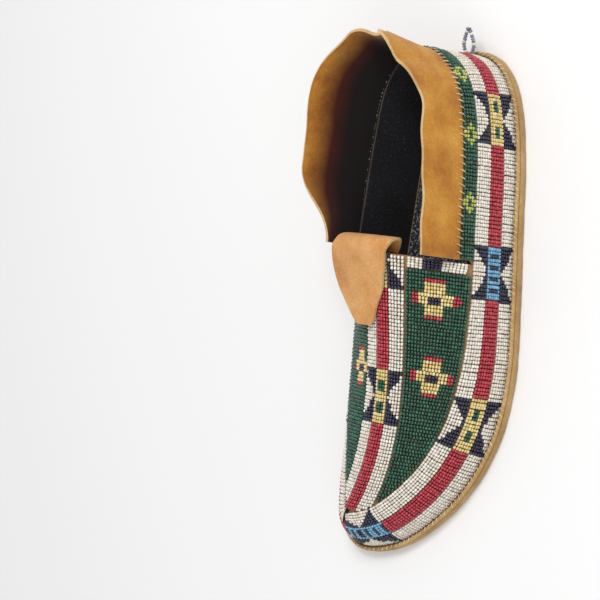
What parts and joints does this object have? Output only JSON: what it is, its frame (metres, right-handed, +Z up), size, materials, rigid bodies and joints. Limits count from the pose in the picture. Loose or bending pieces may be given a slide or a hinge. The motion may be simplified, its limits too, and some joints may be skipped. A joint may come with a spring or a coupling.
{
  "type": "beaded moccasin",
  "caption": "Left-foot hide moccasin with a flat rawhide sole, beadwork lanes and panels over the upper, a standing ankle collar and a folded tongue.",
  "frame": {"origin": "on the resting face, under the middle of the shoe's length", "axes": "+Z up, -Y toward the toe, +X toward the outer (lateral) side of a left foot"},
  "size_m": [0.1008, 0.2712, 0.0811],
  "materials": {
    "rawhide": "hard hide, worn smooth",
    "felt": "dark felt with pale specks",
    "hide": "tanned hide, matt",
    "collar_hide": "ochre tanned hide, mottled",
    "tongue_hide": "orange tan suede",
    "lining_cloth": "near black woven cloth",
    "thread": "waxed thread",
    "white_beads": "glossy off-white glass seed beads, opaque",
    "red_beads": "glossy crimson glass seed beads, opaque",
    "green_beads": "glossy dark green glass seed beads, opaque",
    "navy_beads": "glossy navy glass seed beads, opaque",
    "yellow_beads": "glossy pale yellow glass seed beads, opaque",
    "blue_beads": "glossy light blue glass seed beads, opaque"
  },
  "bodies": {
    "shoe": {"sole": "rawhide", "insole": "felt", "welt": "rawhide", "sole_seam_thread": "thread", "upper": "hide", "lining": "lining_cloth", "heel_seam_thread": "thread", "tongue_root": "tongue_hide", "band_lower_lane_lateral": "white_beads", "band_lower_lane_medial": "white_beads", "band_middle_lane_lateral": "red_beads", "band_middle_lane_medial": "red_beads", "band_upper_lane_lateral": "white_beads", "band_upper_lane_medial": "white_beads", "ankle_lane_lateral": "green_beads", "ankle_lane_medial": "green_beads", "vamp_panel_lateral": "green_beads", "vamp_panel_medial": "green_beads", "throat_lane_lateral": "white_beads", "throat_lane_medial": "white_beads", "vamp_strip_lane_lateral": "white_beads", "vamp_strip_lane_medial": "white_beads", "vamp_strip_lane_centre": "red_beads"},
    "outer_collar": {"collar_lateral": "collar_hide", "collar_seam_thread_lateral": "thread"},
    "inner_collar": {"collar_medial": "collar_hide", "collar_seam_thread_medial": "thread"},
    "tongue": {"tongue_flap": "tongue_hide"},
    "loop": {"heel_loop": "blue_beads"}
  },
  "joints": [
    {"name": "tongue_fold", "type": "hinge", "parent": "shoe", "child": "tongue", "pos_m": [-0.001, 0.0229, 0.0628], "axis": [-1, 0, 0], "range_deg": [0, 120]},
    {"name": "collar_lateral_spread", "type": "hinge", "parent": "shoe", "child": "outer_collar", "pos_m": [0.0302, 0.06, 0.0384], "axis": [0, 1, 0], "range_deg": [0, 25]},
    {"name": "collar_medial_spread", "type": "hinge", "parent": "shoe", "child": "inner_collar", "pos_m": [-0.0408, 0.06, 0.0384], "axis": [0, -1, 0], "range_deg": [0, 20]},
    {"name": "heel_loop_swing", "type": "hinge", "parent": "shoe", "child": "loop", "pos_m": [-0.007, 0.1263, 0.0103], "axis": [1, 0, 0], "range_deg": [-20, 60]}
  ]
}
